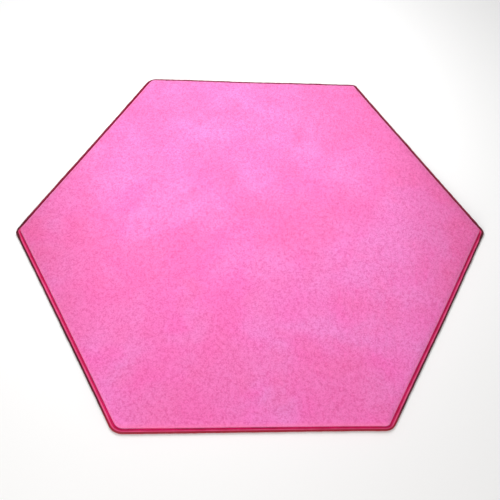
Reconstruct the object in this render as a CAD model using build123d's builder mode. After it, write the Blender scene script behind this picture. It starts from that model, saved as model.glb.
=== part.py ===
"""Hexagonal padded floor mat: fleece top, sponge core, anti-slip base and a sewn edge tape.

The mat lies on the XY plane with its corners on +X and -X, its flat sides towards +Y and -Y,
and +Z up. The origin is at the middle of the underside. Units are millimetres.

Every ring-shaped feature is placed by its inset: how far it stands in from the mat's edge.
"""

import os

from build123d import *

# Outline
across_flats = 1212.0  # over the edge tape
corner_radius = 40.0  # of the mat's outermost edge

# Layers, where they lie free
base_thickness = 1.5  # anti-slip cloth with its grip dots
foam_thickness = 20.0
fleece_thickness = 3.0
sponge_side = 6.0  # straight part of the sponge's side, below its rolled shoulder

# Layers, where the edge tape presses them together
pressed_base = 1.0
pressed_foam = 2.0
pressed_fleece = 2.0

# Edge tape
tape_thickness = 1.0
tape_fold_flat = 1.0  # straight part of its face, between the fold's two rounds
tape_width = 10.0  # of the folded tape, seen from above
tape_floor_gap = 0.6  # the tape hangs clear of the floor by this much
roll_space = 2.0  # air between the tape's fold and the layers' cut edges
tape_ease = 1.0  # between the tape's inner edge and the fleece that rises beside it
join_angle = 8.0  # the two tape lengths meet on a line at this angle to +X
join_row_margin = 0.5  # bare tape at each end of a row of join stitches

# Threads, all of the same gauge
thread_width = 0.6
thread_bite = 0.25  # how far a thread is pulled down into what it holds
seam_margin = 1.6  # from the tape's inner edge to the lockstitch row that holds it
tack_margin = 2.0  # from the layers' cut edges to the hidden row that holds them together

# Heights of the stack inside the tape, from the floor up
tape_bottom = tape_floor_gap
pressed_base_bottom = tape_bottom + tape_thickness
foam_lip_bottom = pressed_base_bottom + pressed_base
foam_lip_top = foam_lip_bottom + pressed_foam
fleece_lip_top = foam_lip_top + pressed_fleece
tape_top = fleece_lip_top + tape_thickness

# Heights of the free layers
foam_top = base_thickness + foam_thickness
fleece_top = foam_top + fleece_thickness

# Rounds
shoulder_radius = foam_thickness - sponge_side
tape_roll_radius = (tape_top - tape_bottom - tape_fold_flat) / 2

# Insets of the edge features
layer_inset = tape_thickness + roll_space
fleece_wall_inset = tape_width + tape_ease
foam_wall_inset = fleece_wall_inset + fleece_thickness
seam_inset = tape_width - seam_margin
tack_inset = layer_inset + tack_margin


class MatOutline(BaseSketchObject):
    """The mat's outline, a rounded hexagon, brought in by the given inset."""

    def __init__(self, inset: float, mode: Mode = Mode.ADD):
        with BuildSketch() as outline:
            RegularPolygon(across_flats / 2 - inset, side_count=6, major_radius=False)
            fillet(outline.vertices(), corner_radius - inset)
        super().__init__(outline.sketch, mode=mode)


def extrude_outline(inset: float, bottom: float, top: float, mode: Mode = Mode.ADD):
    """Adds a slab of the mat's outline between two heights to the part being built."""
    with BuildSketch(Plane.XY.offset(bottom)) as slab_face:
        MatOutline(inset)
    extrude(slab_face.sketch, amount=top - bottom, mode=mode)


def extrude_band(outer_inset: float, inner_inset: float, bottom: float, top: float,
                 mode: Mode = Mode.ADD):
    """Adds a band that follows the mat's edge between two insets and two heights."""
    with BuildSketch(Plane.XY.offset(bottom)) as band_face:
        MatOutline(outer_inset)
        MatOutline(inner_inset, mode=Mode.SUBTRACT)
    extrude(band_face.sketch, amount=top - bottom, mode=mode)


def thread_ring(inset: float, bottom: float, top: float) -> Part:
    """One continuous row of stitches, centred on the given inset."""
    with BuildPart() as row:
        extrude_band(inset - thread_width / 2, inset + thread_width / 2, bottom, top)
    return row.part


# Sponge core: a slab with a rolled shoulder and a thin lip that the tape presses flat
with BuildPart() as foam_core:
    extrude_outline(foam_wall_inset, base_thickness, foam_top)
    fillet(foam_core.edges().group_by(Axis.Z)[-1], shoulder_radius)
    extrude_outline(layer_inset, foam_lip_bottom, foam_lip_top)
foam_core.part.label = "foam_core"

# Anti-slip base: flat on the floor, stepping up beside the sponge to pass over the tape
base_wall_inset = foam_wall_inset - base_thickness
with BuildPart() as bottom_panel:
    extrude_outline(base_wall_inset, 0, base_thickness)
    extrude_band(base_wall_inset, foam_wall_inset, 0, foam_lip_bottom)
    extrude_band(layer_inset, foam_wall_inset, pressed_base_bottom, foam_lip_bottom)
bottom_panel.part.label = "bottom_panel"

# Hidden row of stitches, pulled into the top of the fleece's flange
tack_bottom = fleece_lip_top - thread_width
with BuildPart() as tack_thread:
    add(thread_ring(tack_inset, tack_bottom, fleece_lip_top))
tack_thread.part.label = "tack_thread"

# Fleece top: rises over the sponge and is pressed into a flat flange under the tape
with BuildPart() as top_panel:
    extrude_outline(fleece_wall_inset, foam_lip_top, fleece_top)
    fillet(top_panel.edges().group_by(Axis.Z)[-1], shoulder_radius + fleece_thickness)
    extrude_outline(layer_inset, foam_lip_top, fleece_lip_top)
    add(foam_core.part, mode=Mode.SUBTRACT)
    add(tack_thread.part, mode=Mode.SUBTRACT)
top_panel.part.label = "top_panel"

# Lockstitch row through the tape: one thread above it and one below
needle_bottom = tape_top - thread_bite
bobbin_top = tape_bottom + thread_bite
with BuildPart() as needle_thread:
    add(thread_ring(seam_inset, needle_bottom, needle_bottom + thread_width))
needle_thread.part.label = "needle_thread"

with BuildPart() as bobbin_thread:
    add(thread_ring(seam_inset, bobbin_top - thread_width, bobbin_top))
bobbin_thread.part.label = "bobbin_thread"

# Short rows of stitches across the tape, where its two lengths meet
join_line = Plane(origin=(0, 0, 0), x_dir=Vector(1, 0, 0).rotate(Axis.Z, join_angle),
                  z_dir=Vector(0, 1, 0).rotate(Axis.Z, join_angle))
join_row_outer = tape_roll_radius + join_row_margin
join_row_inner = seam_inset - join_row_margin
with BuildPart() as join_threads:
    extrude_band(join_row_outer, join_row_inner, needle_bottom, needle_bottom + thread_width)
    split(bisect_by=join_line.offset(-thread_width / 2), keep=Keep.TOP)
    split(bisect_by=join_line.offset(thread_width / 2), keep=Keep.BOTTOM)
join_threads.part.label = "join_threads"


def folded_tape(side: Keep) -> Part:
    """One length of the edge tape, folded round the layers' edge, on one side of the join."""
    with BuildPart() as inside:
        extrude_outline(tape_thickness, pressed_base_bottom, fleece_lip_top)
        rims = inside.edges().group_by(Axis.Z)
        fillet(rims[0] + rims[-1], tape_roll_radius - tape_thickness)
    with BuildPart() as tape:
        extrude_outline(0, tape_bottom, tape_top)
        rims = tape.edges().group_by(Axis.Z)
        fillet(rims[0] + rims[-1], tape_roll_radius)
        extrude_outline(tape_width, tape_bottom, tape_top, mode=Mode.SUBTRACT)
        add(inside.part, mode=Mode.SUBTRACT)
        add(needle_thread.part, mode=Mode.SUBTRACT)
        add(bobbin_thread.part, mode=Mode.SUBTRACT)
        add(join_threads.part, mode=Mode.SUBTRACT)
        split(bisect_by=join_line, keep=side)
    return tape.part


with BuildPart() as rear_binding:
    add(folded_tape(Keep.TOP))
rear_binding.part.label = "rear_binding"

with BuildPart() as front_binding:
    add(folded_tape(Keep.BOTTOM))
front_binding.part.label = "front_binding"

os.makedirs("parts", exist_ok=True)
export_step(foam_core.part, "parts/foam_core.step")
export_step(top_panel.part, "parts/top_panel.step")
export_step(bottom_panel.part, "parts/bottom_panel.step")
export_step(rear_binding.part, "parts/rear_binding.step")
export_step(front_binding.part, "parts/front_binding.step")
export_step(needle_thread.part, "parts/needle_thread.step")
export_step(bobbin_thread.part, "parts/bobbin_thread.step")
export_step(tack_thread.part, "parts/tack_thread.step")
export_step(join_threads.part, "parts/join_threads.step")
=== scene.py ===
"""A hexagonal padded floor mat: plush top, sponge core, dotted grip cloth and a sewn edge tape.

Lengths are in metres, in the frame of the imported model: +Z up, corners on +X and -X.
"inset" is how far something stands in from the mat's outermost edge.
"""

import math

import bpy
import numpy as np
from mathutils import Matrix, Vector
from mathutils.bvhtree import BVHTree


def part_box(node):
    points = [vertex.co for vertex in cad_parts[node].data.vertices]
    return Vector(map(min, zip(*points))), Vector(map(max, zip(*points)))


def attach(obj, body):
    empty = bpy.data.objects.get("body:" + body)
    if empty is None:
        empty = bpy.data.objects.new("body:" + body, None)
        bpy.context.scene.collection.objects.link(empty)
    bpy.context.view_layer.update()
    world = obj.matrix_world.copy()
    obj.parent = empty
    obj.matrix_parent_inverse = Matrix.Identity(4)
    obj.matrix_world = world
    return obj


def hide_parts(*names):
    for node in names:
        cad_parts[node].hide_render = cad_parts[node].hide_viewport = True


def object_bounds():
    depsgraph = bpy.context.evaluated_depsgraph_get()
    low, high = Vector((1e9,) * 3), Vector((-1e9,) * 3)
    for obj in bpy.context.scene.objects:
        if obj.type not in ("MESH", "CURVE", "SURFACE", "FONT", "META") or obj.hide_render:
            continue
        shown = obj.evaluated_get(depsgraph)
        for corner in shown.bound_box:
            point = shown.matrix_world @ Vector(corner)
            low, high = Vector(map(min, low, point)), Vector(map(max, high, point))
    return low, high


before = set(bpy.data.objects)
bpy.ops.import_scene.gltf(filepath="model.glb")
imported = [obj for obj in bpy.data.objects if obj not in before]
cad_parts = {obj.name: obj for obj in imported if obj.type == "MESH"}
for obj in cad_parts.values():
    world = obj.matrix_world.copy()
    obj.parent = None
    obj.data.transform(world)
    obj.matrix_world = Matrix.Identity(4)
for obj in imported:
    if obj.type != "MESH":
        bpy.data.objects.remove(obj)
cad_low, cad_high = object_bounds()

MM = 0.001
TAU = 2 * math.pi
SIXTH = TAU / 6
TAN_30 = math.tan(math.radians(30))
COS_30 = math.cos(math.radians(30))

# ---------------------------------------------------------------------------------------------
# Sizes, from the frame where it holds them
# ---------------------------------------------------------------------------------------------

apothem = cad_high[1]  # centre to the middle of a flat side, over the tape
layers_low, layers_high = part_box("top_panel")
sponge_low, sponge_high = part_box("foam_core")
tape_low, tape_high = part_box("rear_binding")
needle_low, needle_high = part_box("needle_thread")

layer_inset = apothem - layers_high.y  # of the layers' cut edges, inside the tape
thread_gauge = needle_high.z - needle_low.z
seam_inset = apothem - needle_high.y + thread_gauge / 2
pile_top = layers_high.z
pressed_sponge_top = layers_low.z  # the fleece's flange lies on it
pressed_fleece = 0.6 * MM  # under the tape its pile is crushed flat
pressed_sponge = 2 * MM
fleece_lip = pressed_sponge_top + pressed_fleece  # top of the flange that the tape presses flat

tape_width = 10 * MM
tape_cloth = 1 * MM
fleece_wall_inset = 13.7 * MM  # where the fleece starts to rise beside the tape
fleece_bulge_inset = 13.0 * MM  # how far out its shoulder bulges, over the tape
fleece_thickness = pile_top - sponge_high.z
shoulder_inset = 29 * MM  # where the fleece has come up to its full height
join_angle = math.radians(8)  # of the line on which the two lengths of tape meet
far_side_ease = 0.12 * apothem  # over which the tape's near-side lie turns into its far-side lie

stitch_pitch = 4 * MM
side_length = 2 * apothem * TAN_30  # of the sharp hexagon, near enough for counting stitches
stitches_round = int(6 * side_length / stitch_pitch)
thread_sides, thread_sections = 6, 5  # of each stitch's tube

base_cloth = 0.7 * MM
dot_height = 0.8 * MM

# The lie of this mat. How round each corner is, and how far it lies from its regular place in
# x and y, counter-clockwise from +X: cutting and sewing left them unlike.
corner_radii = np.array([19, 18, 38, 20, 42, 29]) * MM
corner_shifts = np.array([(-5, 4), (5, -7), (2, 8), (0, -7), (-5, -5), (3, 3)]) * MM
drift = 1.2 * MM  # how far its sides wander
pinch_reach = 16 * MM  # the tape was caught narrower along the near side, up to this inset
pinch_middle = 2.6 * MM  # by this much at the middle of the side
pinch_slope = 3.5 * MM  # and more so to the right, per metre


# ---------------------------------------------------------------------------------------------
# The outline and small random fields
# ---------------------------------------------------------------------------------------------

def edge_points(t, inset, by_length=False):
    """Points x, y on the outline at an inset. t runs from 0 to 6, one for each side, from corner
    to corner. by_length spaces the points evenly; without it, lines of equal t cross the edge
    squarely."""
    t, inset = np.broadcast_arrays(np.asarray(t, float) % 6, np.asarray(inset, float))
    side = np.floor(t).astype(int) % 6
    share = t - np.floor(t)
    ahead = share >= 0.5
    corner = np.where(ahead, side + 1, side) % 6
    way = np.where(ahead, 1.0, -1.0)
    from_middle = np.abs(2 * share - 1)

    least_radius = 0.5 * MM
    reach = apothem - inset
    radius = np.maximum(corner_radii[corner] - inset, least_radius)
    straight = (reach - radius) * TAN_30
    half_turn = SIXTH / 2
    if by_length:
        along = from_middle * (straight + radius * half_turn)
        turn = np.clip((along - straight) / radius, 0, half_turn)
        along = np.minimum(along, straight)
    else:
        edge_radius = corner_radii[corner]
        edge_straight = (apothem - edge_radius) * TAN_30
        split = edge_straight / (edge_straight + edge_radius * half_turn)
        along = np.minimum(from_middle / split, 1) * straight
        turn = np.clip((from_middle - split) / (1 - split), 0, 1) * half_turn
    sideways = way * (along + radius * np.sin(turn))
    outwards = reach - radius + radius * np.cos(turn)
    facing = SIXTH / 2 + side * SIXTH
    x = outwards * np.cos(facing) - sideways * np.sin(facing)
    y = outwards * np.sin(facing) + sideways * np.cos(facing)
    return x, y


def off_centre(x, y):
    """How far a place lies from the middle, square to the side of the hexagon it is nearest."""
    facing = SIXTH / 2 + SIXTH * np.arange(3)
    return np.max([np.abs(x * math.cos(a) + y * math.sin(a)) for a in facing], axis=0)


def waves(x, y, shortest, longest, seed, count=28):
    """A smooth random field of about -1 to 1, made of waves between two wavelengths."""
    rng = np.random.default_rng(seed)
    total = np.zeros(np.broadcast(x, y).shape)
    for _ in range(count):
        length = math.exp(rng.uniform(math.log(shortest), math.log(longest)))
        heading, phase = rng.uniform(0, TAU, 2)
        total += np.cos(TAU / length * (x * math.cos(heading) + y * math.sin(heading)) + phase)
    return total / math.sqrt(count * 1.5)


def settle(x, y, z):
    """Lays points of the regular mat where the real one lies: corners a little out of place,
    sides not quite straight, and the tape pinched along the near side. Returns points x, y, z."""
    side = np.floor(np.arctan2(y, x) / SIXTH).astype(int) % 6
    first, second = SIXTH * side, SIXTH * (side + 1)
    share_first = (x * np.sin(second) - y * np.cos(second)) / apothem
    share_second = (y * np.cos(first) - x * np.sin(first)) / apothem
    shift = (share_first[..., None] * corner_shifts[side]
             + share_second[..., None] * corner_shifts[(side + 1) % 6])
    drift_x, drift_y = (drift * waves(x, y, 0.35, 0.9, seed) for seed in (5, 6))
    near_edge = np.clip(1 - (y + apothem) / pinch_reach, 0, None)
    pinch = near_edge * (pinch_middle + pinch_slope * x)
    laid_x = x + shift[..., 0] + drift_x
    laid_y = y + shift[..., 1] + drift_y + pinch
    return np.stack([laid_x, laid_y, z], axis=-1)


# ---------------------------------------------------------------------------------------------
# Mesh helpers
# ---------------------------------------------------------------------------------------------

def new_object(name, points, faces):
    mesh = bpy.data.meshes.new(name)
    mesh.from_pydata(points.reshape(-1, 3).tolist(), [], faces)
    mesh.shade_smooth()
    mesh.update()
    piece = bpy.data.objects.new(name, mesh)
    bpy.context.scene.collection.objects.link(piece)
    return piece


def mark(piece, name, values):
    """Stores a number at each point, for the materials to read."""
    layer = piece.data.attributes.new(name, "FLOAT", "POINT")
    layer.data.foreach_set("value", np.ascontiguousarray(values, dtype=np.float32).ravel())


def strip_faces(first, second):
    """Quads between two closed rows of the same number of points, given by their indices."""
    count = len(first)
    return [(first[i], first[(i + 1) % count], second[(i + 1) % count], second[i])
            for i in range(count)]


def tube_faces(along, around, start=0):
    """Faces of a closed tube: along sections of around points each, numbered section by section
    from start on."""
    rows = [[start + i * around + j for j in range(around)] for i in range(along)]
    faces = []
    for first, second in zip(rows, rows[1:]):
        faces += strip_faces(first, second)
    return faces + [tuple(reversed(rows[0])), tuple(rows[-1])]


def hexagon_rings(rings, reach):
    """Points of a lattice of equal triangles that fills a hexagon, ring by ring, and its faces."""
    xs, ys, starts, faces = [np.zeros(1)], [np.zeros(1)], [0], []
    corner = SIXTH * np.arange(7)
    for k in range(1, rings + 1):
        starts.append(starts[-1] + (1 if k == 1 else 6 * (k - 1)))
        size = reach * k / rings / COS_30
        corner_x, corner_y = size * np.cos(corner), size * np.sin(corner)
        share = np.arange(k) / k
        for s in range(6):
            xs.append(corner_x[s] + (corner_x[s + 1] - corner_x[s]) * share)
            ys.append(corner_y[s] + (corner_y[s + 1] - corner_y[s]) * share)
        inner = 6 * (k - 1)
        for s in range(6):
            for j in range(k):
                here = starts[k] + s * k + j
                ahead = starts[k] + (s * k + j + 1) % (6 * k)
                below = starts[k - 1] + (s * (k - 1) + j) % inner if inner else 0
                faces.append((here, ahead, below))
                if j:
                    faces.append((here, below, starts[k - 1] + s * (k - 1) + j - 1))
    return np.concatenate(xs), np.concatenate(ys), starts, faces


def layer_plan(rings, middle_height, rows):
    """A sheet that fills the outline: a flat lattice up to shoulder_inset, then rows of one inset
    and one height each, out to its edge. Returns x, y, inset and height of its points, its faces,
    and the indices of its outermost row."""
    x, y, starts, faces = hexagon_rings(rings, apothem - shoulder_inset)
    insets = [np.maximum(apothem - off_centre(x, y), shoulder_inset)]

    # Towards its corners the lattice eases from sharp to rounded
    t = np.arange(6 * rings) / rings
    rim_x, rim_y = edge_points(t, shoulder_inset, by_length=True)
    last = starts[rings] + np.arange(6 * rings)
    pull_x, pull_y = rim_x - x[last], rim_y - y[last]
    ease_from = 0.8
    for k in range(int(rings * ease_from), rings + 1):
        ease = ((k / rings - ease_from) / (1 - ease_from)) ** 2
        ring = starts[k] + np.arange(6 * k)
        place = np.arange(6 * k) / k
        x[ring] += ease * np.interp(place, t, pull_x, period=6)
        y[ring] += ease * np.interp(place, t, pull_y, period=6)

    xs, ys, heights, count = [x], [y], [np.full(len(x), middle_height)], len(x)
    last = last.tolist()
    for inset, height in rows:
        row_x, row_y = edge_points(t, inset, by_length=True)
        xs.append(row_x)
        ys.append(row_y)
        insets.append(np.full(len(t), inset))
        heights.append(np.full(len(t), height))
        here = list(range(count, count + len(t)))
        faces += strip_faces(here, last)
        last = here
        count += len(t)
    plan = [np.concatenate(parts) for parts in (xs, ys, insets, heights)]
    return *plan, faces, last


# ---------------------------------------------------------------------------------------------
# Shape of the padded surface
# ---------------------------------------------------------------------------------------------

def shoulder_rows(count, top, lip, behind):
    """Insets and heights down the padding's shoulder, which bulges out over the tape, tucks in
    under the bulge to the lip and runs on flat to its cut edge. behind is how far it lies inside
    the fleece's face."""
    plumpness = 2.05  # 2 is a plain round
    bulge_share = 0.3  # of the rise, where it bulges furthest
    tuck_rows = 3
    under_tape = 6 * MM
    bulge_height = lip + bulge_share * (top - lip)
    bulge, wall = fleece_bulge_inset + behind, fleece_wall_inset + behind
    rows = []
    for turn in TAU / 4 * np.arange(1, count + 1) / count:
        inset = bulge + (shoulder_inset - bulge) * (1 - math.sin(turn) ** (2 / plumpness))
        height = bulge_height + (top - bulge_height) * max(math.cos(turn), 0) ** (2 / plumpness)
        rows.append((inset, height))
    for turn in TAU / 4 * np.arange(1, tuck_rows + 1) / tuck_rows:
        inset = bulge + (wall - bulge) * (1 - math.cos(turn))
        rows.append((inset, bulge_height - (bulge_height - lip) * math.sin(turn)))
    return rows + [(under_tape, lip), (layer_inset, lip)]


def sponge_swell(x, y):
    """How far the sponge lies above or below its nominal height, from use and from storage."""
    broad = 0.9 * MM * waves(x, y, 0.16, 0.34, 11)
    return broad + 0.5 * MM * waves(x, y, 0.07, 0.15, 12)


def smooth_lookup(points, faces):
    """A function of x and y that reads z from a mesh, smoothed by subdivision."""
    piece = new_object("lookup", points, faces)
    piece.modifiers.new("smooth", "SUBSURF").levels = 1
    tree = BVHTree.FromObject(piece, bpy.context.evaluated_depsgraph_get())
    bpy.data.objects.remove(piece)
    down = Vector((0, 0, -1))

    def look(x, y):
        hits = [tree.ray_cast(Vector((a, b, 1)), down)[0] for a, b in zip(x, y)]
        return np.array([0.0 if hit is None else hit.z for hit in hits])
    return look


def fleece_lie():
    """How far the fleece lies above its nominal height, as a function of x and y. It is a cloth
    simulation: the sheet is cut a touch large, held at the tape and drops on to the sponge."""
    rings, frames = 40, 24
    spare = 0.001  # how much too large the sheet is cut, as a share
    drop = 1 * MM
    gap = 1 * MM  # that the sheet keeps from the sponge
    skin = 10 * MM  # of the sponge: the sheet would fall through a thinner one
    held_share = 0.35  # of the rise, up to which the tape holds the sheet
    cap = 2.5 * MM  # the most that it may lie off its nominal height
    rows = shoulder_rows(6, pile_top, fleece_lip, 0)
    x, y, _, nominal, faces, _ = layer_plan(rings, pile_top, rows)
    share = (nominal - fleece_lip) / (pile_top - fleece_lip)
    place = settle(x, y, nominal)
    swell = sponge_swell(place[:, 0], place[:, 1]) * share

    rise = np.zeros_like(place)
    rise[:, 2] = swell - skin
    bed = new_object("sponge_bed", place + rise, faces)
    bed.modifiers.new("bed", "COLLISION")
    bed.collision.thickness_outer = skin
    bed.collision.cloth_friction = 5
    rise[:, 2] = drop * share
    sheet = new_object("fleece_sheet", place + rise, faces)
    held = sheet.vertex_groups.new(name="held")
    held.add(np.flatnonzero(share < held_share).tolist(), 1.0, "REPLACE")
    cloth = sheet.modifiers.new("cloth", "CLOTH")
    cloth.settings.vertex_group_mass = "held"
    cloth.settings.quality = 8
    cloth.settings.shrink_min = -spare
    cloth.settings.bending_stiffness = 2
    cloth.settings.air_damping = 5
    cloth.collision_settings.distance_min = gap
    cloth.collision_settings.collision_quality = 4
    for number in range(1, frames + 1):
        bpy.context.scene.frame_set(number)
    laid = sheet.evaluated_get(bpy.context.evaluated_depsgraph_get()).data
    after = np.zeros(len(laid.vertices) * 3)
    laid.vertices.foreach_get("co", after)
    height = after.reshape(-1, 3)[:, 2] - nominal
    bpy.data.objects.remove(sheet)
    bpy.data.objects.remove(bed)
    bpy.context.scene.frame_set(1)
    place[:, 2] = np.clip(height, -cap, cap)
    return smooth_lookup(place, faces)


# ---------------------------------------------------------------------------------------------
# Materials
# ---------------------------------------------------------------------------------------------

class Nodes:
    """Builds one material's nodes. Each method adds a node and returns its output socket."""

    def __init__(self, name):
        self.material = bpy.data.materials.new(name)
        self.material.use_nodes = True
        self.tree = self.material.node_tree
        self.shader = self.tree.nodes["Principled BSDF"]
        self.place = self.add("ShaderNodeTexCoord").outputs["Object"]

    def add(self, kind, **settings):
        node = self.tree.nodes.new(kind)
        for key, value in settings.items():
            setattr(node, key, value)
        return node

    def join(self, value, socket):
        if isinstance(value, bpy.types.NodeSocket):
            self.tree.links.new(value, socket)
        else:
            socket.default_value = value

    def set(self, **values):
        """Sets or links the shader's inputs, with _ for a space in a name."""
        for key, value in values.items():
            self.join(value, self.shader.inputs[key.replace("_", " ")])

    def marked(self, name):
        """A number that was stored at the mesh's points."""
        return self.add("ShaderNodeAttribute", attribute_name=name).outputs["Fac"]

    def axis(self, name):
        """The object's own X, Y or Z."""
        node = self.add("ShaderNodeSeparateXYZ")
        self.join(self.place, node.inputs["Vector"])
        return node.outputs[name]

    def scaled(self, x, y, z):
        """Places for a texture, drawn out along an axis where its number is under 1."""
        node = self.add("ShaderNodeMapping")
        self.join(self.place, node.inputs["Vector"])
        node.inputs["Scale"].default_value = (x, y, z)
        return node.outputs["Vector"]

    def noise(self, size, detail=2.0, rough=0.5, distortion=0.0, at=None):
        """Noise with features of about that size, in metres."""
        node = self.add("ShaderNodeTexNoise")
        self.join(at or self.place, node.inputs["Vector"])
        node.inputs["Scale"].default_value = 1 / size
        node.inputs["Detail"].default_value = detail
        node.inputs["Roughness"].default_value = rough
        node.inputs["Distortion"].default_value = distortion
        return node.outputs["Fac"]

    def cells(self, size):
        """Distance to the nearest cell centre, for cells of about that size."""
        node = self.add("ShaderNodeTexVoronoi")
        self.join(self.place, node.inputs["Vector"])
        node.inputs["Scale"].default_value = 1 / size
        return node.outputs["Distance"]

    def ramp(self, value, low, high, to_low=0.0, to_high=1.0, smooth=False):
        """Turns low to high into to_low to to_high, and holds those beyond."""
        node = self.add("ShaderNodeMapRange")
        if smooth:
            node.interpolation_type = "SMOOTHSTEP"
        for key, number in (("Value", value), ("From Min", low), ("From Max", high),
                            ("To Min", to_low), ("To Max", to_high)):
            self.join(number, node.inputs[key])
        return node.outputs["Result"]

    def math(self, operation, first, second):
        node = self.add("ShaderNodeMath", operation=operation)
        self.join(first, node.inputs[0])
        self.join(second, node.inputs[1])
        return node.outputs["Value"]

    def blend(self, share, first, second, mode="MIX"):
        """A colour between two: the first where share is 0. MULTIPLY tints it with the second."""
        node = self.add("ShaderNodeMix", data_type="RGBA", blend_type=mode)
        self.join(share, node.inputs["Factor"])
        colours = [socket for socket in node.inputs if socket.type == "RGBA"]
        self.join(first, colours[0])
        self.join(second, colours[1])
        return next(socket for socket in node.outputs if socket.type == "RGBA")

    def bump(self, height, distance, strength):
        node = self.add("ShaderNodeBump")
        self.join(height, node.inputs["Height"])
        node.inputs["Distance"].default_value = distance
        node.inputs["Strength"].default_value = strength
        return node.outputs["Normal"]


def rgb(red, green, blue):
    return (red, green, blue, 1.0)


def plush_material():
    """Short coral-fleece pile: tufts, clumps, a nap that leans this way and that, and sheen,
    with painted shade between the tufts and towards the corners on X, and painted light over the
    far side and beside the tape.
    """
    n = Nodes("plush_pile")
    tufts = n.cells(4.4 * MM)
    fibres = n.noise(1.6 * MM, 3.0, 0.6)
    clumps = n.noise(9 * MM, 2.0, 0.6, 0.4)
    nap = n.noise(0.13, 1.0, 0.5, 0.5)
    wear = n.noise(0.3, 1.0, 0.5, 0.3)

    # Painted light: the pile is paler towards the far side and deeper pink along the near side,
    # standing in for the stronger light and sheen over the far side; the other colours lie over
    # both in patches
    near, mid = rgb(0.995, 0.184, 0.573), rgb(0.93, 0.243, 0.615)
    light, warm, cool = rgb(0.93, 0.285, 0.675), rgb(0.95, 0.205, 0.525), rgb(0.92, 0.262, 0.635)
    painted_shade_between_tufts, corner_painted_shade = rgb(0.82, 0.57, 0.68), rgb(0.82, 0.68, 0.68)
    painted_light_salmon = rgb(1.0, 0.20, 0.46)
    colour = n.blend(n.ramp(n.axis("Y"), -0.55, 0.45), near, mid)
    colour = n.blend(n.ramp(nap, 0.38, 0.64, 0, 0.9), colour, light)
    colour = n.blend(n.ramp(n.noise(0.07, 1.0), 0.45, 0.72, 0, 0.7), colour, warm)
    colour = n.blend(n.ramp(wear, 0.38, 0.54, 0.6, 0), colour, warm)
    colour = n.blend(n.ramp(wear, 0.50, 0.66, 0, 0.5), colour, cool)
    # Painted shade: the pile is darker between its tufts and clumps, where shade falls
    speckle = n.math("MULTIPLY", n.ramp(tufts, 0.1, 0.75), n.ramp(clumps, 0.25, 0.7))
    colour = n.blend(n.ramp(speckle, 0.0, 0.75), colour, painted_shade_between_tufts, "MULTIPLY")
    # Painted shade: the pile is darker towards the two corners on X, where the light falls off
    sideways = n.math("ABSOLUTE", n.axis("X"), 0)
    colour = n.blend(n.ramp(sideways, 0.42, 0.7), colour, corner_painted_shade, "MULTIPLY")
    # Painted light: beside the tape the pile is made brighter and more salmon, lighting its slope
    # down to the tape, which faces away from the lamps
    beside_tape = n.ramp(n.marked("inset"), 13 * MM, 22 * MM, 0.5, 0, smooth=True)
    colour = n.blend(beside_tape, colour, painted_light_salmon)
    height = n.math("ADD", n.ramp(tufts, 0.0, 0.8, 1, 0), n.ramp(fibres, 0.3, 0.7, 0, 0.5))
    n.set(Base_Color=colour, Roughness=0.95, Specular_IOR_Level=0.1,
          Sheen_Weight=0.4, Sheen_Roughness=0.5, Sheen_Tint=rgb(1.0, 0.62, 0.86),
          Normal=n.bump(height, 1.2 * MM, 0.7))
    return n.material


def tape_material():
    """Rose satin tape: a fine weave and small creases, painted in lit and shaded copies of its
    colour. The fold number runs from 0 at its inner edge, sewn down and painted deep crimson for
    the shade in the groove, over the lit ridge in the satin's own rose at 1, to 2 at its
    turned-under side, painted near black for the shade under the edge and the floor shadow beside
    it; that painted shade is redder along the far sides and the nearest side than along the two
    between."""
    n = Nodes("satin_tape")
    weave = n.noise(0.7 * MM, 2.0)
    creases = n.noise(7 * MM, 2.0, 0.5, 0.8)
    shade = n.ramp(n.noise(0.04, 2.0), 0.35, 0.65)
    fold = n.marked("fold")

    # Painted shade: the sewn-down inner strip is deep crimson for the shade in the groove beside
    # the fleece; the ridge keeps the satin's own rose
    sewn_painted_shade = n.blend(shade, rgb(0.68, 0.005, 0.12), rgb(0.80, 0.008, 0.17))
    ridge = n.blend(shade, rgb(0.66, 0.05, 0.175), rgb(0.76, 0.09, 0.245))
    # Painted shade: the turned-under side is near black for the shade under the edge and the floor
    # shadow beside it, a little redder along the far sides and the nearest side
    turned_painted_shade = n.blend(shade, rgb(0.06, 0.001, 0.008), rgb(0.11, 0.003, 0.016))
    far_side = n.ramp(n.axis("Y"), 0, far_side_ease, smooth=True)
    turned_painted_shade = n.blend(far_side, turned_painted_shade, rgb(0.22, 0.006, 0.035))
    near_side = n.ramp(n.axis("Y"), -0.97 * apothem, -0.88 * apothem, 1, 0, smooth=True)
    turned_painted_shade = n.blend(near_side, turned_painted_shade, rgb(0.28, 0.004, 0.02))
    colour = n.blend(n.ramp(fold, 0.45, 0.8, smooth=True), sewn_painted_shade, ridge)
    colour = n.blend(n.ramp(fold, 1.0, 1.12, smooth=True), colour, turned_painted_shade)
    height = n.math("ADD", weave, n.ramp(creases, 0.3, 0.7, 0, 2.0))
    n.set(Base_Color=colour, Roughness=n.ramp(creases, 0.3, 0.7, 0.42, 0.55),
          Specular_IOR_Level=0.25, Sheen_Weight=0.08, Sheen_Roughness=0.35,
          Sheen_Tint=rgb(1.0, 0.55, 0.6), Normal=n.bump(height, 0.25 * MM, 0.6))
    return n.material


def thread_material():
    """Twisted polyester thread."""
    n = Nodes("crimson_thread")
    twist = n.noise(0.5 * MM, 2.0, 0.6)
    colour = n.blend(n.ramp(twist, 0.3, 0.7), rgb(0.48, 0.004, 0.07), rgb(0.62, 0.007, 0.10))
    n.set(Base_Color=colour, Roughness=n.ramp(twist, 0.3, 0.7, 0.7, 0.85),
          Specular_IOR_Level=0.1, Normal=n.bump(twist, 0.15 * MM, 0.4))
    return n.material


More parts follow.
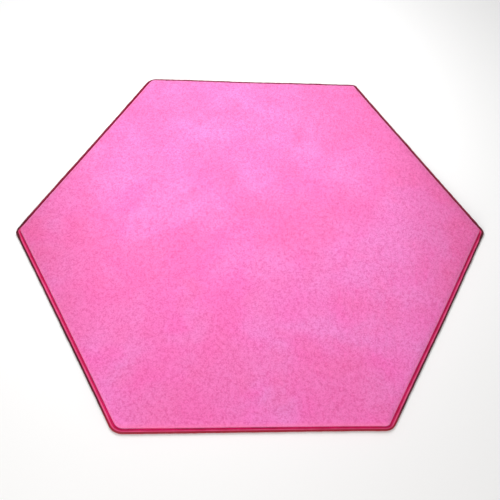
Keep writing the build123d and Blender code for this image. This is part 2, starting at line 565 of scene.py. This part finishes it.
def sponge_material():
    """Open-cell cream sponge."""
    n = Nodes("cream_sponge")
    pores = n.cells(1.6 * MM)
    stain = n.noise(0.08, 3.0)
    colour = n.blend(n.ramp(stain, 0.35, 0.7), rgb(0.84, 0.78, 0.62), rgb(0.76, 0.68, 0.5))
    # Painted shade: the sponge is darker in the hollows of its cells
    colour = n.blend(n.ramp(pores, 0.0, 0.45, 0.6, 0.0), colour, rgb(0.5, 0.42, 0.28))
    n.set(Base_Color=colour, Roughness=n.ramp(pores, 0, 0.6, 0.98, 0.85),
          Normal=n.bump(pores, 0.6 * MM, 0.7))
    return n.material


def grip_cloth_material():
    """Off-white plain-woven base cloth."""
    n = Nodes("grip_cloth")
    across = n.noise(0.9 * MM, 1.0, at=n.scaled(1, 0.12, 1))
    down = n.noise(0.9 * MM, 1.0, at=n.scaled(0.12, 1, 1))
    weave = n.math("ADD", across, down)
    tone = n.noise(0.06, 3.0)
    colour = n.blend(n.ramp(tone, 0.35, 0.7), rgb(0.66, 0.63, 0.6), rgb(0.56, 0.53, 0.5))
    colour = n.blend(n.ramp(weave, 0.8, 1.2, 0, 0.35), colour, rgb(0.42, 0.4, 0.38))
    n.set(Base_Color=colour, Roughness=n.ramp(weave, 0.8, 1.2, 0.82, 0.95),
          Normal=n.bump(weave, 0.3 * MM, 0.7))
    return n.material


def grip_dot_material():
    """Soft clear-white vinyl of the grip dots."""
    n = Nodes("vinyl_dots")
    dust = n.noise(2.5 * MM, 3.0)
    colour = n.blend(n.ramp(dust, 0.4, 0.75), rgb(0.8, 0.79, 0.77), rgb(0.64, 0.62, 0.6))
    n.set(Base_Color=colour, Roughness=n.ramp(dust, 0.35, 0.7, 0.35, 0.6),
          Normal=n.bump(dust, 0.08 * MM, 0.5))
    return n.material


def dress(piece, material, replaced):
    """Gives a piece its material and its body, and hides the CAD node it stands for."""
    piece.data.materials.append(material)
    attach(piece, "root")
    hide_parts(replaced)
    return piece


# ---------------------------------------------------------------------------------------------
# Layers
# ---------------------------------------------------------------------------------------------

def make_plush_top():
    """The fleece: the simulated lie of the cloth, with its pile standing in uneven tufts."""
    rows = shoulder_rows(9, pile_top, fleece_lip, 0)
    x, y, inset, height, faces, _ = layer_plan(155, pile_top, rows)
    points = settle(x, y, height)
    lie = fleece_lie()(points[:, 0], points[:, 1])
    rng = np.random.default_rng(21)
    tufts = 0.45 * MM * rng.standard_normal(len(x))
    tufts += 0.45 * MM * waves(x, y, 0.011, 0.03, 13, 40)
    points[:, 2] += (lie + tufts) * (height - fleece_lip) / (pile_top - fleece_lip)
    piece = new_object("plush_top", points, faces)
    mark(piece, "inset", inset)
    return dress(piece, plush_material(), "top_panel")


def make_sponge():
    """The sponge, a closed body that lies under the fleece and over the base cloth."""
    top, lip = sponge_high.z, pressed_sponge_top
    rows = shoulder_rows(7, top, lip, fleece_thickness)
    x, y, _, height, faces, rim = layer_plan(40, top, rows)
    upper = settle(x, y, height)
    upper[:, 2] += sponge_swell(upper[:, 0], upper[:, 1]) * (height - lip) / (top - lip)
    lower = upper.copy()
    lower[:, 2] = np.where(height > lip, sponge_low.z, lip - pressed_sponge)
    count = len(x)
    under = [tuple(point + count for point in reversed(face)) for face in faces]
    edge = strip_faces([point + count for point in rim], rim)
    piece = new_object("sponge_core", np.concatenate([upper, lower]), faces + under + edge)
    return dress(piece, sponge_material(), "foam_core")


def make_grip_cloth():
    """The base cloth: flat on its dots, stepping up beside the tape to run into it."""
    step_low, step_high = 12.5 * MM, 14 * MM
    raised = tape_low.z + tape_cloth
    rows = [(22 * MM, dot_height), (16 * MM, dot_height), (step_high, dot_height),
            ((step_low + step_high) / 2, (dot_height + raised) / 2),
            (step_low, raised), (8 * MM, raised), (layer_inset, raised)]
    x, y, _, height, faces, _ = layer_plan(36, dot_height, rows)
    points = settle(x, y, height)
    piece = new_object("grip_cloth", points, faces)
    thick = piece.modifiers.new("cloth", "SOLIDIFY")
    thick.thickness = base_cloth
    thick.offset = 1.0
    return dress(piece, grip_cloth_material(), "bottom_panel")


def make_grip_dots():
    """Moulded dots in a staggered grid over the whole underside."""
    pitch, radius, sides, margin = 15 * MM, 2.4 * MM, 6, 20 * MM
    row_pitch = pitch * COS_30
    rows = int(apothem / row_pitch)
    columns = int(apothem / COS_30 / pitch)
    centres = []
    for i in range(-rows, rows + 1):
        for j in range(-columns - 1, columns + 1):
            x, y = (j + 0.5 * (i % 2)) * pitch, i * row_pitch
            if off_centre(x, y) < apothem - margin:
                centres.append((x, y))
    centres = np.array(centres)
    angle = TAU / sides * np.arange(sides)
    levels = []  # each dot's, from inside the cloth down to the floor: share of radius, height
    for share, z in ((1.0, dot_height + 0.1 * MM), (0.92, 0.3 * MM), (0.5, 0.0)):
        x = centres[:, :1] + share * radius * np.cos(angle)
        y = centres[:, 1:] + share * radius * np.sin(angle)
        levels.append(settle(x, y, np.full(x.shape, z)))
    faces = []
    for d in range(len(centres)):
        faces += tube_faces(len(levels), sides, d * len(levels) * sides)
    piece = new_object("grip_dots", np.stack(levels, axis=1), faces)
    return dress(piece, grip_dot_material(), "bottom_panel")


# ---------------------------------------------------------------------------------------------
# Edge tape and its stitches
# ---------------------------------------------------------------------------------------------

def tape_line(t):
    """The tape's middle surface at each t, from its upper inner edge, over its roll and back to
    its lower inner edge: the insets and heights of its points, and their places on the fold."""
    x, y = edge_points(t, 0.0)
    puff = 0.5 * MM * waves(x, y, 0.03, 0.12, 31) + 0.25 * MM * waves(x, y, 0.012, 0.02, 32)
    width = 1.0 * MM * waves(x, y, 0.08, 0.3, 33)
    pucker = 0.12 * MM * np.cos(TAU / 6 * t * stitches_round)
    rolled = np.clip(0.5 + y / far_side_ease, 0, 1)[:, None]  # 1 along the far sides
    rolled_height, rolled_fold = 3.0 * MM, 0.5
    top, bottom = tape_high.z - tape_cloth / 2, tape_low.z + tape_cloth / 2
    middle = (top + bottom) / 2
    line = [
        (tape_width + 2.4 * MM + width, top - 0.7 * MM, 0.0),
        (tape_width + 0.8 * MM + width, top - 0.9 * MM, 0.1),
        (seam_inset + 0.7 * MM, top - 1.0 * MM - pucker, 0.2),
        (seam_inset, top - 1.1 * MM - 1.6 * pucker, 0.35),
        (seam_inset - 0.8 * MM, top - 0.7 * MM - pucker, 0.5),
        (6.8 * MM, top + 0.1 * MM + 0.6 * puff, 0.75),
        (5.6 * MM, top + 0.8 * MM + puff, 0.95),
        (4.4 * MM, top + 0.9 * MM + puff, 1.0),
        (2.9 * MM - 0.2 * puff, top + 0.5 * MM + 0.8 * puff, 1.1),
        (1.2 * MM - 0.4 * puff, top - 0.3 * MM + 0.6 * puff, 1.3),
        (-0.1 * MM - 0.5 * puff, top - 1.2 * MM + 0.4 * puff, 1.45),
        (-0.9 * MM - 0.6 * puff, middle + 0.6 * MM, 1.6),
        (-1.1 * MM - 0.6 * puff, middle - 0.6 * MM, 1.7),
        (-0.6 * MM - 0.4 * puff, bottom + 1.3 * MM, 1.8),
        (0.8 * MM - 0.2 * puff, bottom + 0.35 * MM, 1.9),
        (4.0 * MM, bottom, 2.0),
        (seam_inset - 0.8 * MM, bottom, 2.0),
        (seam_inset, bottom + 0.15 * MM + pucker, 2.0),
        (seam_inset + 0.6 * MM, bottom, 2.0),
        (tape_width, bottom, 2.0),
    ]
    insets, heights, folds = (
        np.stack([np.broadcast_to(point[k], t.shape) for point in line], axis=1) for k in range(3))
    # Along the far sides the tape has rolled outwards, and its fold numbers are shifted, so that
    # its turned-under side, painted with shade, comes up
    lift = np.interp(folds, (0.4, 0.95, 1.3, 1.7), (0, 1, 1, 0))
    return insets, heights + rolled_height * rolled * lift, folds + rolled_fold * rolled


def make_tape(name, first, last, material, replaced):
    """One length of tape between two places along the outline, as thick as its cloth."""
    per_stitch = 3  # sections
    stitches = int((last - first) * side_length / stitch_pitch)
    t = np.linspace(first, last, per_stitch * stitches + 1)
    insets, heights, folds = tape_line(t)
    along_inset, along_height = np.gradient(insets, axis=1), np.gradient(heights, axis=1)
    size = np.hypot(along_inset, along_height)
    out_inset = tape_cloth / 2 * along_height / size
    out_height = -tape_cloth / 2 * along_inset / size
    section_inset = np.concatenate([insets + out_inset, (insets - out_inset)[:, ::-1]], axis=1)
    section_height = np.concatenate([heights + out_height, (heights - out_height)[:, ::-1]], axis=1)
    x, y = edge_points(t[:, None], section_inset)
    points = settle(x, y, section_height)
    piece = new_object(name, points, tube_faces(len(t), section_inset.shape[1]))
    mark(piece, "fold", np.concatenate([folds, folds[:, ::-1]], axis=1))
    return dress(piece, material, replaced)


def make_stitches(name, inset, height, up, material, replaced):
    """A row of separate stitches: short arched threads whose ends dive into what they hold."""
    reach = 0.86  # share of the pitch that a stitch spans
    share = np.linspace(-0.5, 0.5, thread_sections)
    t = (np.arange(stitches_round)[:, None] + 0.5 + reach * share) * 6 / stitches_round
    rise = up * np.array([-0.45, 0.08, 0.15, 0.08, -0.45]) * MM
    radius = thread_gauge / 2 * np.array([0.7, 1, 1, 1, 0.7])
    angle = TAU / thread_sides * np.arange(thread_sides)
    slip = 0.12 * MM * np.random.default_rng(41).standard_normal((stitches_round, 1, 1))
    insets = inset + slip + radius[:, None] * np.cos(angle)
    heights = height + rise[:, None] + radius[:, None] * np.sin(angle)
    x, y = edge_points(t[..., None], insets)
    faces = []
    for i in range(stitches_round):
        faces += tube_faces(thread_sections, thread_sides, i * thread_sections * thread_sides)
    piece = new_object(name, settle(x, y, np.broadcast_to(heights, x.shape)), faces)
    return dress(piece, material, replaced)


def join_place():
    """t of the nearer end of the line that both tape joins lie on, at the outer edge."""
    from_side = SIXTH / 2 - join_angle
    return 0.5 - math.tan(from_side) * apothem / side_length


def make_join_stitches(material):
    """Stitches across the tape, in a row on each side of its two joins."""
    radius, length, row_offset = 0.25 * MM, 1.3 * MM, 0.9 * MM
    angle = TAU / thread_sides * np.arange(thread_sides)
    share = np.linspace(-0.5, 0.5, thread_sections)
    lift = 0.12 * MM - 0.5 * MM * (2 * np.abs(share)) ** 4
    middles = 3.4 * MM + 1.5 * MM * np.arange(3)
    points, faces = [], []
    for join in (join_place(), join_place() + 3):
        for row in (-row_offset, row_offset):
            t = join + row / side_length
            insets, heights, _ = tape_line(np.array([t]))
            upper = slice(8, None, -1)  # the upper face's points, from the roll inwards
            for middle in middles:
                inset = middle + share * length
                face = np.interp(inset, insets[0][upper], heights[0][upper]) + tape_cloth / 2
                x, y = edge_points(t + radius * np.cos(angle) / side_length, inset[:, None])
                z = (face + lift)[:, None] + radius * np.sin(angle)
                faces += tube_faces(thread_sections, thread_sides,
                                    len(points) * thread_sections * thread_sides)
                points.append(settle(x, y, z))
    piece = new_object("join_stitches", np.stack(points), faces)
    return dress(piece, material, "join_threads")


# ---------------------------------------------------------------------------------------------
# The object
# ---------------------------------------------------------------------------------------------

def make_mat():
    satin = tape_material()
    thread = thread_material()
    join = join_place()
    plush_top = make_plush_top()
    sponge_core = make_sponge()
    grip_cloth = make_grip_cloth()
    make_grip_dots()
    tapes = [make_tape("rear_tape", join, join + 3, satin, "rear_binding"),
             make_tape("front_tape", join + 3, join + 6, satin, "front_binding")]
    make_stitches("needle_stitches", seam_inset, tape_high.z - 0.85 * MM, 1,
                  thread, "needle_thread")
    make_stitches("bobbin_stitches", seam_inset, tape_low.z + 0.05 * MM, -1,
                  thread, "bobbin_thread")
    make_stitches("tack_stitches", layer_inset + 2 * MM, fleece_lip - 0.3 * MM, 1,
                  thread, "tack_thread")
    make_join_stitches(thread)


# ---------------------------------------------------------------------------------------------
# Floor, light and camera
# ---------------------------------------------------------------------------------------------

def make_floor():
    half = 6.0
    corners = np.array([(-half, -half, 0), (half, -half, 0), (half, half, 0), (-half, half, 0)])
    floor = new_object("floor", corners, [(0, 1, 2, 3)])
    n = Nodes("pale_floor")
    n.set(Base_Color=rgb(0.95, 0.95, 0.95), Roughness=0.7, Specular_IOR_Level=0.2)
    floor.data.materials.append(n.material)


def area_light(name, place, target, size, watts, colour):
    light = bpy.data.lights.new(name, "AREA")
    light.shape = "SQUARE"
    light.size = size
    light.energy = watts
    light.color = colour
    lamp = bpy.data.objects.new(name, light)
    lamp.location = place
    lamp.rotation_euler = (Vector(target) - Vector(place)).to_track_quat("-Z", "Y").to_euler()
    lamp.visible_camera = False
    bpy.context.scene.collection.objects.link(lamp)


def make_light():
    """A soft box over the far part of the mat, a broad low fill from the near side, a weak one
    from the near right, and an even white room. Each light has its place, target, size in metres
    and watts."""
    area_light("soft_box", (-0.2, 0.6, 1.3), (-0.15, 0.45, 0), 0.9, 19, (1.0, 1.0, 1.0))
    area_light("room_fill", (-1.2, -3.0, 1.4), (0, 0, 0), 2.0, 56, (1.0, 0.97, 0.94))
    area_light("side_fill", (2.6, -1.4, 0.8), (0.4, -0.2, 0), 1.2, 9, (1.0, 0.98, 0.96))
    world = bpy.data.worlds.new("studio")
    world.use_nodes = True
    background = world.node_tree.nodes["Background"]
    background.inputs["Color"].default_value = rgb(1, 1, 1)
    background.inputs["Strength"].default_value = 0.4
    bpy.context.scene.world = world
    bpy.context.scene.view_settings.view_transform = "Standard"


def make_camera():
    """A standing person's view down on to the mat from its near side."""
    azimuth, elevation, roll = map(math.radians, (-2.25, 58.55, 2.42))
    target = Vector((-0.0076, -0.0514, -0.016))
    distance = 2.106
    back = Vector((math.sin(azimuth) * math.cos(elevation),
                   -math.cos(azimuth) * math.cos(elevation), math.sin(elevation)))
    right = Vector((math.cos(azimuth), math.sin(azimuth), 0))
    up = back.cross(right)
    turned_right = right * math.cos(roll) + up * math.sin(roll)
    turned_up = up * math.cos(roll) - right * math.sin(roll)
    camera = bpy.data.objects.new("camera", bpy.data.cameras.new("camera"))
    camera.data.lens = 51.14
    camera.data.sensor_width = 36.0
    rotation = Matrix((turned_right, turned_up, back)).transposed()
    camera.matrix_world = Matrix.Translation(target + back * distance) @ rotation.to_4x4()
    bpy.context.scene.collection.objects.link(camera)
    bpy.context.scene.camera = camera


make_mat()
make_floor()
make_light()
make_camera()
